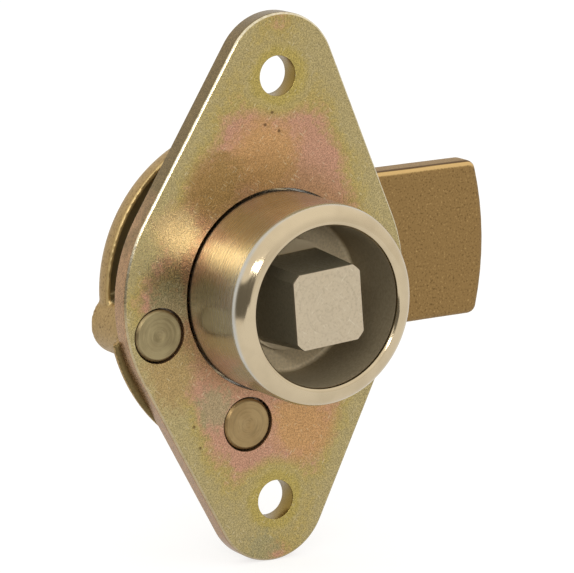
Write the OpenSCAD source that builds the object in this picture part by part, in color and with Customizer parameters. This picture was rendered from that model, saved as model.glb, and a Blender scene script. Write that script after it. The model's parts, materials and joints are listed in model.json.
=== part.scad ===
// Quarter-turn latch worked by a square box key.
// A lozenge plate is screwed to the inside of a door, the nozzle passes out through the door,
// and the key turns the spindle, which swings the tongue behind the plate through a quarter turn.
// Frame: origin on the spindle axis at the front face of the plate, front towards -Y, +Z up.

/* [Face plate] */
// Distance between the two fixing holes
fixing_spacing = 54; // [52:0.5:64]
// Diameter of the fixing holes
fixing_hole_d = 5; // [4:0.1:6]
// Thickness of the plate
plate_t = 2.65; // [2:0.05:4]
// Radius of the wide middle of the plate
plate_mid_r = 20.25; // [19:0.05:23]
// Radius of the narrow ends of the plate
plate_end_r = 7.9; // [6:0.1:10]
// Distance that the middle is drawn out towards the rivets
plate_mid_shift = 1.4; // [0:0.1:2]
// Angle by which the blank is punched out of line with its holes
blank_turn = 0.9; // [0:0.1:2]
// Rounding that the stamping leaves on the front edge
plate_edge_r = 0.45; // [0.2:0.05:0.8]

/* [Nozzle] */
// Outside diameter of the nozzle
nozzle_d = 25.3; // [24:0.1:25.8]
// Diameter of the bore that the key enters
nozzle_bore_d = 20.2; // [19:0.1:21]
// Distance that the rim stands out of the plate
nozzle_reach = 12.4; // [9:0.1:16]
// Depth of the bore below the rim
nozzle_bore_depth = 10.4; // [8:0.05:12]
// Rounding of the outer lip of the rim
rim_outer_r = 2; // [0.5:0.1:2]
// Rounding of the inner lip of the rim
rim_inner_r = 0.5; // [0.2:0.1:0.6]
// Rounding at the floor of the bore
bore_corner_r = 0.65; // [0.2:0.05:1]
// Diameter of the flange behind the plate
nozzle_flange_d = 31; // [29:0.5:33]
// Thickness of the flange
nozzle_flange_t = 1.5; // [1:0.1:2.5]
// Gap round the nozzle where it passes through the plate
nozzle_gap = 0.25; // [0.1:0.05:0.4]

/* [Spindle] */
// Diameter of the bar that the spindle is turned from
bar_d = 12.2; // [11:0.1:13]
// Size of the male square across its flats, at its front end
square_af = 9.5; // [9:0.1:10.4]
// Taper of each flat, in degrees
square_taper = 3; // [0:0.1:4]
// Height of the collar behind the flats
collar_h = 0.7; // [0.5:0.1:1.5]
// Distance that the collar stands out round the corners of the square
collar_over = 0.3; // [0.1:0.1:1]
// Angle at which the square lies when the latch is at rest
square_angle = 5; // [0:1:10]
// Diameter of the rear journal
rear_journal_d = 10; // [9:0.1:10.6]
// Size of the rear square across its flats
rear_square_af = 7.6; // [7.3:0.1:8.4]
// Diameter of the riveted stub at the rear end
stub_d = 7; // [6:0.1:7.2]
// Diameter of the riveted head
peen_d = 10.4; // [9:0.1:12]
// Height of the riveted head
peen_h = 1.5; // [1:0.1:2.5]

/* [Case] */
// Outside radius of the case
case_r = 20; // [19.3:0.1:21]
// Thickness of the side wall
case_wall = 3; // [2:0.1:3.2]
// Thickness of the side wall where it is hollowed between the ears
hollow_wall = 1.2; // [0.8:0.1:1.8]
// Thickness of the rear wall
case_back_t = 3; // [2:0.1:5]
// Rounding of the rear edge
case_edge_r = 3.5; // [1:0.1:4]
// Height of the window in the wall, from the plate
window_h = 4.95; // [4:0.05:5.5]
// Rounding of the rim of the window
window_rim_r = 0.25; // [0.1:0.05:1.2]
// Thickness of the wall at the rim of the window
window_lip = 0.6; // [0.4:0.1:1.8]
// Radius of the ears round the rivets
ear_r = 4.05; // [3.8:0.05:4.6]
// Thickness of the ears behind the floor of the case
ear_cover = 1.1; // [0.5:0.05:2]
// Radius of the neck of each ear that locates the flange of the nozzle
ear_neck_r = 3.2; // [2.9:0.1:3.5]
// Radius of the foot that joins the ears along the plate
foot_r = 22.3; // [21.5:0.1:23]
// Thickness of the foot
foot_t = 1.1; // [0.6:0.1:1.5]

/* [Rivets] */
// Distance of the rivets from the spindle axis
rivet_radius = 17.25; // [16.8:0.05:18]
// Angle between the two rivets
rivet_spread = 62.5; // [58:0.5:68]
// Direction midway between the rivets
rivet_side = 225; // [223:0.5:227]
// Diameter of the flush end in the plate
rivet_end_d = 6.5; // [6:0.1:7]
// Gap round the flush end
rivet_gap = 0.25; // [0.05:0.05:0.4]
// Bevel of the flush end
rivet_bevel = 0.3; // [0.1:0.05:0.5]
// Diameter of the dimple in the flush end
dimple_d = 1.3; // [0.5:0.1:2]
// Diameter of the shank
rivet_shank_d = 4.8; // [4:0.1:5]
// Diameter of the rear head
rivet_head_d = 7; // [6:0.1:7.6]
// Height of the rear head
rivet_head_h = 1.4; // [0.8:0.1:1.7]

/* [Detent] */
// Thickness of the detent block
block_t = 4.55; // [4:0.05:6]
// Thickness of the leaf spring
spring_t = 0.8; // [0.5:0.1:1]
// Bend of the leaf spring round each ear, in degrees
spring_bend = 15; // [5:1:18]
// Angle that the stop lug spans
lug_angle = 18; // [10:1:24]
// Step from the face of the block down to the stop lug
lug_step = 0.25; // [0.1:0.05:0.5]
// Clearance of the stop lug at both ends of its travel
stop_gap = 0.6; // [0.3:0.05:1]

/* [Tongue] */
// Reach of the tongue from the spindle axis
tongue_reach = 40; // [32:0.1:50]
// Width of the tongue
tongue_w = 20.7; // [16:0.1:22]
// Thickness of the tongue
tongue_t = 4.3; // [3:0.1:6]
// Corner radius at the end of the tongue
tongue_corner_r = 1.3; // [1.3:0.1:4]
// Rounding of the edges of the casting
tongue_edge_r = 0.9; // [0.3:0.1:1.2]
// Angle at which the tongue lies when the latch is at rest
tongue_angle = 1.4; // [0:0.1:3]
// Radius of the hub on the front of the tongue
hub_r = 11; // [9:0.1:13]
// Height of the hub
hub_h = 0.6; // [0.4:0.1:1.5]

/* [Washer] */
// Outside diameter of the retaining washer
washer_d = 16; // [13:0.5:20]
// Thickness of the washer
washer_t = 1.2; // [0.8:0.1:2]

/* [Clearances] */
// Radial clearance of the turning journals
journal_gap = 0.05; // [0.02:0.01:0.1]
// Clearance between moving neighbours
run_gap = 0.3; // [0.2:0.05:0.5]
// Clearance of pieces that are fitted together
fit_gap = 0.05; // [0.02:0.01:0.1]

/* [Hidden] */
$fn = 96;
hull_fn = 72;
edge_steps = 5;
end_steps = 4;
past = 1;
turn = 90;

// Heights along the spindle axis, towards the front
plate_back = -plate_t;
flange_back = plate_back - nozzle_flange_t;
block_front = flange_back - run_gap;
block_back = block_front - block_t;
case_floor = block_back - run_gap;
case_back = case_floor - case_back_t;
hub_front = case_back - run_gap;
tongue_front = hub_front - hub_h;
tongue_back = tongue_front - tongue_t;
washer_back = tongue_back - washer_t;
window_rim = plate_back - window_h;
ear_back = case_floor - ear_cover;
bore_floor = nozzle_reach - nozzle_bore_depth;
collar_back = bore_floor + run_gap;
flat_end = collar_back + collar_h;

// Nozzle and spindle
nozzle_r = nozzle_d / 2;
nozzle_bore_r = nozzle_bore_d / 2;
nozzle_spigot_r = nozzle_r - nozzle_gap;
nozzle_hole_r = nozzle_r + nozzle_gap;
flange_r = nozzle_flange_d / 2;
rim_lip_r = min(rim_outer_r, nozzle_r - nozzle_bore_r - rim_inner_r - fit_gap);
bar_r = bar_d / 2;
corner_r = bar_r + (nozzle_reach - flat_end) * tan(square_taper) * bar_d / square_af;
collar_r = corner_r + collar_over;
rear_journal_r = rear_journal_d / 2;

// Rivets and ears
rivet_angles = [rivet_side - rivet_spread / 2, rivet_side + rivet_spread / 2];
ear_out = rivet_radius * cos(rivet_spread / 2);
ear_half_span = rivet_radius * sin(rivet_spread / 2);
ear_half_angle = asin(ear_r / rivet_radius);
cavity_r = case_r - case_wall;

// Detent block, leaf spring and stop lug
spring_out = ear_out - ear_r - fit_gap;
block_half = spring_out - spring_t - fit_gap;
block_corner_r = rivet_radius - ear_r - run_gap;
lug_reach = case_r - run_gap;
stop_angle = asin(stop_gap / rivet_radius);
lug_end = rivet_angles[0] - ear_half_angle - stop_angle - turn;
lug_start = lug_end - lug_angle;
lug_front = block_front - lug_step;
lug_back = max(window_rim + run_gap, block_back);
window_start = lug_start - stop_angle;

// Tongue
end_corner_angle = asin((tongue_w / 2 - tongue_corner_r) / (tongue_reach - tongue_corner_r));

// Colours
passivated = [0.70, 0.64, 0.42];
bright_plate = [0.80, 0.76, 0.68];
cast_brass = [0.58, 0.44, 0.24];
bare_steel = [0.60, 0.58, 0.53];
spring_steel = [0.42, 0.42, 0.44];

// Turns the spindle axis, drawn along +Z, to point to the front
module to_front() {
    rotate([90, 0, 0]) children();
}

// A quarter of a disc, for the rounding of a profile
module quarter(r) {
    intersection() {
        circle(r);
        square(r);
    }
}

// A cylinder between two heights
module slice(r, low, high) {
    translate([0, 0, low]) cylinder(r = r, h = high - low);
}

// Puts its children at both rivets
module at_rivets() {
    for (angle = rivet_angles)
        rotate(angle) translate([rivet_radius, 0, 0]) children();
}

// A wedge of a disc between two angles, cut by straight edges that stay clear of its arc
module wedge(r, from, to) {
    steps = ceil((to - from) / 45);
    reach = 2 * r;
    intersection() {
        circle(r);
        polygon(concat([[0, 0]], [for (i = [0 : steps])
            let (a = from + (to - from) * i / steps) [reach * cos(a), reach * sin(a)]]));
    }
}

// A bar milled square: the corners are left round by the bar
module milled_square(af, r, low, high) {
    intersection() {
        slice(r, low, high);
        rotate(square_angle) translate([-af / 2, -af / 2, low]) cube([af, af, high - low]);
    }
}

// A bar that narrows towards the front, with flats that narrow with it
module tapered_square(base_r, low, high) {
    difference() {
        translate([0, 0, low]) cylinder(r1 = base_r, r2 = bar_r, h = high - low);
        for (side = [0, 90, 180, 270])
            rotate(square_angle + side) translate([square_af / 2, 0, high]) rotate([0, -square_taper, 0])
                translate([0, -bar_d, low - high - past]) cube([bar_d, 2 * bar_d, high - low + 2 * past]);
    }
}

// A square hole that fits over a milled square
module square_hole(af, low, high) {
    side = af + 2 * fit_gap;
    rotate(square_angle) translate([-side / 2, -side / 2, low]) cube([side, side, high - low]);
}

// Points of an arc, for a profile
function arc(centre, r, from, to) =
    [for (i = [0 : edge_steps])
        let (a = from + (to - from) * i / edge_steps) centre + r * [cos(a), sin(a)]];

// A disc from height 0 with rounded front and back edges, to be joined with others by a hull
module puck(r, t, front_r, back_r) {
    rotate_extrude($fn = hull_fn)
        polygon(concat([[0, 0]],
                       back_r > 0 ? arc([r - back_r, back_r], back_r, -90, 0) : [[r, 0]],
                       arc([r - front_r, t - front_r], front_r, 0, 90),
                       [[0, t]]));
}

// Stamped plate: two narrow ends drawn out of a round middle
module back_plate() {
    color(passivated) to_front() difference() {
        translate([0, 0, plate_back]) rotate(-blank_turn) hull() {
            translate([-plate_mid_shift, 0, 0]) puck(plate_mid_r, plate_t, plate_edge_r, 0);
            for (side = [-1, 1])
                translate([0, side * fixing_spacing / 2, 0]) puck(plate_end_r, plate_t, plate_edge_r, 0);
        }
        slice(nozzle_hole_r, plate_back - past, past);
        for (side = [-1, 1])
            translate([0, side * fixing_spacing / 2, 0]) slice(fixing_hole_d / 2, plate_back - past, past);
        at_rivets() slice(rivet_end_d / 2 + rivet_gap, plate_back - past, past);
    }
}

// Half section of the nozzle: a cup with a rounded rim, a bored floor and a flange behind the plate
module nozzle_section() {
    shaft_r = bar_r + journal_gap;
    wall_start = nozzle_bore_r + rim_inner_r;
    lip_start = nozzle_r - rim_lip_r;
    translate([nozzle_bore_r, flange_back]) square([rim_inner_r, nozzle_reach - rim_inner_r - flange_back]);
    translate([wall_start, nozzle_reach - rim_inner_r]) mirror([1, 0]) quarter(rim_inner_r);
    translate([wall_start, 0]) square([lip_start - wall_start, nozzle_reach]);
    translate([lip_start, 0]) square([rim_lip_r, nozzle_reach - rim_lip_r]);
    translate([lip_start, nozzle_reach - rim_lip_r]) quarter(rim_lip_r);
    translate([nozzle_bore_r - bore_corner_r, bore_floor]) difference() {
        square([bore_corner_r + rim_inner_r, bore_corner_r]);
        translate([0, bore_corner_r]) circle(bore_corner_r);
    }
    translate([shaft_r, flange_back]) square([nozzle_spigot_r - shaft_r, bore_floor - flange_back]);
    translate([nozzle_bore_r, flange_back]) square([nozzle_spigot_r - nozzle_bore_r, -flange_back]);
    translate([shaft_r, flange_back]) square([flange_r - shaft_r, nozzle_flange_t]);
}

module nozzle() {
    color(bright_plate) to_front() difference() {
        rotate_extrude() nozzle_section();
        at_rivets() slice(ear_neck_r + fit_gap, flange_back - past, plate_back + past / 2);
    }
}

// Spindle: tapered square for the key, collar, front journal, drive squares, rear journal and riveted end
module spindle() {
    journal_end = block_front + fit_gap;
    rear_square_front = hub_front + fit_gap;
    color(bare_steel) to_front() union() {
        tapered_square(corner_r, flat_end, nozzle_reach);
        slice(collar_r, collar_back, flat_end);
        slice(bar_r, journal_end, collar_back + collar_h / 2);
        milled_square(square_af, bar_r, block_back, journal_end + past);
        slice(rear_journal_r, rear_square_front, block_back);
        milled_square(rear_square_af, rear_journal_r, tongue_back, rear_square_front + past);
        slice(stub_d / 2, washer_back - past / 2, tongue_back + past);
        translate([0, 0, washer_back]) mirror([0, 0, 1]) dome(peen_d / 2, peen_h);
    }
}

// A low dome on a flat base
module dome(r, h) {
    ball_r = (r * r + h * h) / (2 * h);
    rotate_extrude() intersection() {
        translate([0, h - ball_r]) circle(ball_r);
        square([r, h]);
    }
}

// Half section of the rear of the case: a cup whose wall starts at the rim of the window
module case_cup_section() {
    side_top = window_rim - window_rim_r;
    translate([0, case_back]) square([case_r - case_edge_r, case_floor - case_back]);
    translate([cavity_r, case_back + case_edge_r])
        square([case_r - cavity_r, side_top - case_back - case_edge_r]);
    translate([cavity_r, case_floor]) square([case_wall - window_rim_r, window_rim - case_floor]);
    translate([case_r - window_rim_r, side_top]) quarter(window_rim_r);
    intersection() {
        translate([case_r - case_edge_r, case_back + case_edge_r]) mirror([0, 1]) quarter(case_edge_r);
        union() {
            translate([0, case_back]) square([case_r, case_floor - case_back]);
            translate([cavity_r, case_back]) square([case_wall, case_edge_r]);
        }
    }
}

// The wall between the plate and the cup, left open at the window
module case_skirt() {
    difference() {
        rotate_extrude() translate([cavity_r, window_rim - window_rim_r])
            square([case_wall, plate_back - window_rim + window_rim_r]);
        translate([0, 0, window_rim - 2 * window_rim_r])
            linear_extrude(height = window_h + 2 * window_rim_r + past)
                wedge(case_r + past, window_start, rivet_angles[0]);
    }
}

// Relief inside the wall behind the window, down to the floor, which leaves a thin rim
module window_relief() {
    translate([0, 0, case_floor]) linear_extrude(height = window_rim - case_floor + past)
        wedge(case_r - window_lip, window_start, rivet_angles[0]);
}

// Hollow in the outside of the wall between the ears
module wall_hollow() {
    translate([0, 0, case_back - past])
        linear_extrude(height = plate_back - foot_t - case_back + past) difference() {
            wedge(case_r + past, rivet_angles[0], rivet_angles[1]);
            circle(cavity_r + hollow_wall);
        }
}

// Foot with a round edge that lies along the plate from ear to ear
module case_foot() {
    edge_r = foot_t / 2;
    intersection() {
        rotate_extrude() {
            translate([cavity_r, plate_back - foot_t]) square([foot_r - edge_r - cavity_r, foot_t]);
            translate([foot_r - edge_r, plate_back - edge_r]) circle(edge_r);
        }
        translate([0, 0, plate_back - foot_t - past]) linear_extrude(height = foot_t + 2 * past)
            wedge(foot_r + past, rivet_angles[0], rivet_angles[1]);
    }
}

// Room for the flange of the nozzle, which the necks of the ears locate
module flange_recess() {
    difference() {
        slice(flange_r + nozzle_gap, flange_back, plate_back + past);
        at_rivets() slice(ear_neck_r, flange_back - past, plate_back + 2 * past);
    }
}

module rear_case() {
    color(cast_brass) to_front() difference() {
        union() {
            difference() {
                union() {
                    rotate_extrude() case_cup_section();
                    case_skirt();
                }
                window_relief();
                wall_hollow();
            }
            case_foot();
            at_rivets() slice(ear_r, ear_back - past, plate_back);
        }
        flange_recess();
        slice(rear_journal_r + journal_gap, case_back - past, case_floor + past);
        at_rivets() {
            slice(ear_r + run_gap, case_back - past, ear_back);
            slice(rivet_shank_d / 2 + fit_gap, case_back - past, plate_back + past);
        }
    }
}

// Rivet with a flush turned end in the plate and a domed head behind the ear
module rivet() {
    end_r = rivet_end_d / 2;
    difference() {
        union() {
            slice(end_r, plate_back, -rivet_bevel);
            translate([0, 0, -rivet_bevel]) cylinder(r1 = end_r, r2 = end_r - rivet_bevel, h = rivet_bevel);
            slice(rivet_shank_d / 2, ear_back - rivet_head_h / 2, plate_back + past);
            translate([0, 0, ear_back]) mirror([0, 0, 1]) dome(rivet_head_d / 2, rivet_head_h);
        }
        translate([0, 0, -dimple_d / 4]) cylinder(r1 = 0, r2 = dimple_d, h = dimple_d / 2);
    }
}

module case_rivets() {
    color(bare_steel) to_front() at_rivets() rivet();
}

// Square block that the spring holds at each quarter turn, with the lug that stops the turn
module detent_block() {
    color(bare_steel) to_front() difference() {
        union() {
            translate([0, 0, block_back]) linear_extrude(height = block_t) intersection() {
                circle(block_corner_r);
                rotate(rivet_side) square(2 * block_half, center = true);
            }
            translate([0, 0, lug_back]) linear_extrude(height = lug_front - lug_back) difference() {
                wedge(lug_reach, lug_start, lug_end);
                circle(block_half - spring_t);
            }
        }
        square_hole(square_af, block_back - past, block_front + past);
    }
}

// Leaf spring: a flat strip whose ends are bent a little way round the ears
module detent_spring() {
    strip_w = block_t - 2 * run_gap;
    bend_run = (ear_r + fit_gap) * tan(spring_bend / 2);
    bend_at = ear_half_span + bend_run;
    inner_bend_at = bend_at + spring_t * tan(spring_bend / 2);
    tail = bend_run * [sin(spring_bend), cos(spring_bend)];
    half = [[spring_out - spring_t, inner_bend_at],
            [spring_out - spring_t, inner_bend_at] + tail,
            [spring_out, bend_at] + tail,
            [spring_out, bend_at]];
    other_half = [for (i = [3 : -1 : 0]) [half[i][0], -half[i][1]]];
    color(spring_steel) to_front() rotate(rivet_side) translate([0, 0, block_back + run_gap])
        linear_extrude(height = strip_w) polygon(concat(half, other_half));
}

// Cast tongue: a flat bar with a slightly round end and a low hub towards the case
module tongue() {
    corner_reach = tongue_reach - tongue_corner_r;
    color(cast_brass) to_front() difference() {
        union() {
            translate([0, 0, tongue_back]) rotate(tongue_angle) hull() {
                puck(tongue_w / 2, tongue_t, tongue_edge_r, tongue_edge_r);
                for (step = [-end_steps : end_steps])
                    rotate(step / end_steps * end_corner_angle) translate([corner_reach, 0, 0])
                        puck(tongue_corner_r, tongue_t, tongue_edge_r, tongue_edge_r);
            }
            slice(hub_r, tongue_back + tongue_t / 2, hub_front);
        }
        square_hole(rear_square_af, tongue_back - past, hub_front + past);
    }
}

module retaining_washer() {
    color(bare_steel) to_front() difference() {
        slice(washer_d / 2, washer_back, tongue_back);
        slice(stub_d / 2 + fit_gap, washer_back - past, tongue_back + past);
    }
}

back_plate();
nozzle();
spindle();
rear_case();
case_rivets();
detent_block();
detent_spring();
tongue();
retaining_washer();
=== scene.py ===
# %% [markdown]
# # A quarter-turn latch, worked with a square key
# The frame brings the nine working pieces of the latch as bare solids, at their real size and
# in their real places. This lesson models each piece that shows as it was made, by stamping,
# turning, milling or casting, gives it its finish, and lights it like a small product shot.

# %% Load the frame
import json
import math

import bmesh
import bpy
from mathutils import Matrix, Vector


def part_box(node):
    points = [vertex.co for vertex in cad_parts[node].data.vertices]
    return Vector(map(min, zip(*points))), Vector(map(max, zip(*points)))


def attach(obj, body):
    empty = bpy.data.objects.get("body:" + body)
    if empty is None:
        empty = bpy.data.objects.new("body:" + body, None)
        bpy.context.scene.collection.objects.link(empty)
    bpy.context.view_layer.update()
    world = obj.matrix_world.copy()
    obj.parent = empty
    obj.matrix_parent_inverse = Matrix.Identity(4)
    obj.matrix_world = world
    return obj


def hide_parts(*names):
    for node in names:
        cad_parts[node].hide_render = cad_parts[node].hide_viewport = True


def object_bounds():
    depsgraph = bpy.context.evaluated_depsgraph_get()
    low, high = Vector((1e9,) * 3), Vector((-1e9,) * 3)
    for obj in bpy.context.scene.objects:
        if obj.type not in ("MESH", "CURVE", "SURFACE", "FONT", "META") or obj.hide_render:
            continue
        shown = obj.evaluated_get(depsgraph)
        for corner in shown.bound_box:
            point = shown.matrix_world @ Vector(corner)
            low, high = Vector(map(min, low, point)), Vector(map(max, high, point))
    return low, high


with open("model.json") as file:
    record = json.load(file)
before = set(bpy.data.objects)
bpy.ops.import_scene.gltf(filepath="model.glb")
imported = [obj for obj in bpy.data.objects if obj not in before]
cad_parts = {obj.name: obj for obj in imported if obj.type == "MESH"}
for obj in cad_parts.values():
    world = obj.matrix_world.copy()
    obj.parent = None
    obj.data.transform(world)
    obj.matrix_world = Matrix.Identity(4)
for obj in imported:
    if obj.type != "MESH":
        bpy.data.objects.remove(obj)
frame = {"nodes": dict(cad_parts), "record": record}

MM = 0.001
cad_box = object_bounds()
mounts = {mount["name"]: mount for mount in frame["record"]["mounts"]}
print("CAD box, mm:", [round(edge / MM, 2) for corner in cad_box for edge in corner])

# %% [markdown]
# ## The camera
# The photograph was taken with a long lens, from a little to the left of the latch and a little
# above it. The camera comes first, because every later choice is judged through it.

# %% Place the camera
PHOTO_WIDTH = 574
FOCAL_LENGTH_PIXELS = 4000
SENSOR_WIDTH = 36
CAMERA_PLACE = Vector((-251.586, -419.797, 99.873)) * MM
CAMERA_AZIMUTH = math.radians(-31.083)
CAMERA_ELEVATION = math.radians(11.483)
CAMERA_ROLL = math.radians(0.306)
CLIP_START = 0.05
CLIP_END = 20

bpy.ops.object.select_all(action="DESELECT")
bpy.ops.object.camera_add(location=CAMERA_PLACE)
camera = bpy.context.object
camera.rotation_euler = (
    Matrix.Rotation(CAMERA_AZIMUTH, 3, "Z")
    @ Matrix.Rotation(math.pi / 2 - CAMERA_ELEVATION, 3, "X")
    @ Matrix.Rotation(CAMERA_ROLL, 3, "Z")
).to_euler()
camera.data.sensor_width = SENSOR_WIDTH
camera.data.lens = FOCAL_LENGTH_PIXELS * SENSOR_WIDTH / PHOTO_WIDTH
camera.data.clip_start = CLIP_START
camera.data.clip_end = CLIP_END
bpy.context.scene.camera = camera
bpy.context.scene.view_settings.view_transform = "Standard"
print("Camera lens, mm:", round(camera.data.lens, 1))

# %% [markdown]
# ## A few tools for the bench
# An operator acts on everything that is selected, so each piece starts from an empty selection.
# Turned pieces are drawn as half a section and spun, plates are the hull of a few discs, and
# holes and flats are cut with a cutter of the right size, as the machine would cut them.

# %% Selecting by hand, in code
SAME = 0.002 * MM
TOUCHING = SAME / 10


def clear_selection():
    """Goes back to object mode with nothing selected."""
    if bpy.context.object and bpy.context.object.mode != "OBJECT":
        bpy.ops.object.mode_set(mode="OBJECT")
    bpy.ops.object.select_all(action="DESELECT")


def take(piece, mode="OBJECT"):
    """Makes one piece the only one that the next operators act on."""
    clear_selection()
    bpy.context.view_layer.objects.active = piece
    piece.select_set(True)
    bpy.ops.object.mode_set(mode=mode)


def pick(piece, kind, test):
    """In edit mode, selects the corners or edges that lie wholly where the test says."""
    bpy.ops.mesh.select_mode(type="VERT" if kind == "corners" else "EDGE")
    bpy.ops.mesh.select_all(action="DESELECT")
    shape = bmesh.from_edit_mesh(piece.data)
    if kind == "corners":
        picked = [corner for corner in shape.verts if test(corner.co)]
    else:
        picked = [edge for edge in shape.edges if all(test(end.co) for end in edge.verts)]
    for part in picked:
        part.select_set(True)
    bmesh.update_edit_mesh(piece.data)
    return len(picked)


def near(a, b, room=SAME):
    """True where two lengths agree."""
    return abs(a - b) < room


# %% Adding, cutting and joining
DISC_SIDES = 128
STRAIGHT = math.radians(0.5)


def add_disc(x, z, radius, front, back):
    """Adds a disc that lies across the spindle axis, from one depth to another."""
    bpy.ops.mesh.primitive_cylinder_add(
        vertices=DISC_SIDES, radius=radius, depth=back - front,
        location=(x, (front + back) / 2, z), rotation=(math.pi / 2, 0, 0))


def add_block(angle, inner, outer, width, front, back):
    """Adds a block that lies beside the spindle axis, in the direction of the angle."""
    middle = (inner + outer) / 2
    bpy.ops.mesh.primitive_cube_add(
        size=1, location=(middle * math.cos(angle), (front + back) / 2, middle * math.sin(angle)),
        rotation=(0, -angle, 0), scale=(outer - inner, back - front, width))


def named(name):
    """Names the piece that was just added and puts its place into its mesh."""
    piece = bpy.context.object
    piece.name = name
    piece.data.name = name
    bpy.ops.object.transform_apply(location=True, rotation=True, scale=True)
    return piece


def apply_modifier(piece, kind, **settings):
    """Adds a modifier, sets it and applies it."""
    take(piece)
    bpy.ops.object.modifier_add(type=kind)
    modifier = piece.modifiers[-1]
    for name, value in settings.items():
        setattr(modifier, name, value)
    bpy.ops.object.modifier_apply(modifier=modifier.name)


def combine(piece, operation, add_cutter, *size):
    """Adds a second shape, takes it away from the piece or welds it on, and deletes it."""
    clear_selection()
    add_cutter(*size)
    cutter = named("cutter")
    apply_modifier(piece, "BOOLEAN", operation=operation, solver="EXACT", object=cutter)
    take(cutter)
    bpy.ops.object.delete()


def hull_plate(name, discs, front, back):
    """A plate whose outline is pulled tight round discs, given as (x, z, radius)."""
    clear_selection()
    add_disc(*discs[0], front, back)
    piece = named(name)
    take(piece, "EDIT")
    for disc in discs[1:]:
        add_disc(*disc, front, back)
    bpy.ops.mesh.select_all(action="SELECT")
    bpy.ops.mesh.convex_hull()
    bpy.ops.mesh.select_all(action="SELECT")
    bpy.ops.mesh.dissolve_limited(angle_limit=STRAIGHT)
    return piece


def bevel_edges(piece, test, size, segments=3):
    """Rounds the edges that lie wholly where the test says."""
    take(piece, "EDIT")
    if pick(piece, "edges", test):
        bpy.ops.mesh.bevel(offset=size, segments=segments, affect="EDGES", clamp_overlap=True)


# %% Turning on a lathe
TURN_STEPS = 160


def turned(name, section, rounding=(), steps=TURN_STEPS):
    """Spins a half section, a list of (radius, depth), about the spindle axis.
    rounding lists corners of the section with the radius of each."""
    clear_selection()
    bpy.ops.mesh.primitive_plane_add(size=MM)
    piece = named(name)
    take(piece, "EDIT")
    bpy.ops.mesh.select_mode(type="VERT")
    bpy.ops.mesh.select_all(action="SELECT")
    bpy.ops.mesh.merge(type="CENTER")
    bpy.ops.transform.translate(value=(section[0][0], section[0][1], 0))
    for (radius, depth), (next_radius, next_depth) in zip(section, section[1:]):
        step = (next_radius - radius, next_depth - depth, 0)
        bpy.ops.mesh.extrude_vertices_move(TRANSFORM_OT_translate={"value": step})
    bpy.ops.mesh.select_all(action="SELECT")
    bpy.ops.mesh.remove_doubles(threshold=TOUCHING)
    for (radius, depth), corner_r, segments in rounding:
        pick(piece, "corners", lambda c: near(c.x, radius) and near(c.y, depth))
        bpy.ops.mesh.bevel(offset=corner_r, segments=segments, affect="VERTICES")
    bpy.ops.mesh.select_all(action="SELECT")
    bpy.ops.mesh.spin(steps=steps, angle=2 * math.pi, center=(0, 0, 0), axis=(0, 1, 0))
    bpy.ops.mesh.select_all(action="SELECT")
    bpy.ops.mesh.remove_doubles(threshold=TOUCHING)
    bpy.ops.mesh.normals_make_consistent(inside=False)
    return piece


def dome(radius, height, base, steps=8):
    """Points of a low domed head, from the edge of its base to its top on the axis."""
    ball_r = (radius ** 2 + height ** 2) / (2 * height)
    half_angle = math.asin(radius / ball_r)
    angles = [half_angle * (1 - step / steps) for step in range(steps + 1)]
    return [(ball_r * math.sin(angle), base + height - ball_r * (1 - math.cos(angle))) for angle in angles]


# %% Finishing a piece
SMOOTH_ANGLE = math.radians(38)
FACE_WEIGHT = 100


def finished(piece, body, slot, *nodes):
    """Shades the piece, puts it on its body and lets it stand for its solids."""
    take(piece)
    bpy.ops.object.shade_smooth_by_angle(angle=SMOOTH_ANGLE)
    apply_modifier(piece, "WEIGHTED_NORMAL", keep_sharp=True, weight=FACE_WEIGHT)
    clear_selection()
    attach(piece, body)
    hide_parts(*nodes)
    triangles = sum(len(face.vertices) - 2 for face in piece.data.polygons)
    print(piece.name, "has", triangles, "triangles")


# %% [markdown]
# ## The face plate
# The plate is stamped from sheet: a round middle drawn out into two narrow ends. It could be
# traced point by point, but a hull round three discs gives the same outline from three sizes.
# The punch rolls the front edge over, so that edge gets a round bevel and the back stays crisp.

# %% Stamp the plate
plate_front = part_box("back_plate")[0].y
plate_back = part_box("back_plate")[1].y
plate_mid_r = 20.25 * MM
plate_end_r = 7.9 * MM
plate_mid_shift = 1.4 * MM
blank_turn = math.radians(0.9)
plate_edge_r = 0.45 * MM
burr = 0.12 * MM
hole_r = mounts["fixing_holes"]["dims"]["hole_r_mm"] * MM
hole_out = mounts["fixing_holes"]["dims"]["spacing_y_mm"] * MM / 2


def turned_blank(x, z):
    """A point of the blank, which lies a little out of line with its holes."""
    return (x * math.cos(blank_turn) + z * math.sin(blank_turn),
            z * math.cos(blank_turn) - x * math.sin(blank_turn))


blank_discs = [(*turned_blank(-plate_mid_shift, 0), plate_mid_r),
               (*turned_blank(0, hole_out), plate_end_r),
               (*turned_blank(0, -hole_out), plate_end_r)]
face_plate = hull_plate("face_plate", blank_discs, plate_front, plate_back)
bevel_edges(face_plate, lambda c: near(c.y, plate_front), plate_edge_r, segments=4)
bevel_edges(face_plate, lambda c: near(c.y, plate_back), burr, segments=2)
print("Plate outline stamped,", len(face_plate.data.vertices), "corners")

# %% Punch its holes
past = 1 * MM
nozzle_hole_r = 12.9 * MM
rivet_radius = 17.25 * MM
rivet_middle = 225
rivet_spread = 62.5
rivet_angles = [math.radians(rivet_middle + side * rivet_spread / 2) for side in (-1, 1)]
rivet_places = [(rivet_radius * math.cos(a), rivet_radius * math.sin(a)) for a in rivet_angles]
rivet_hole_r = 3.5 * MM
hole_mouth = 0.18 * MM
tight_mouth = 0.08 * MM

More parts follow.
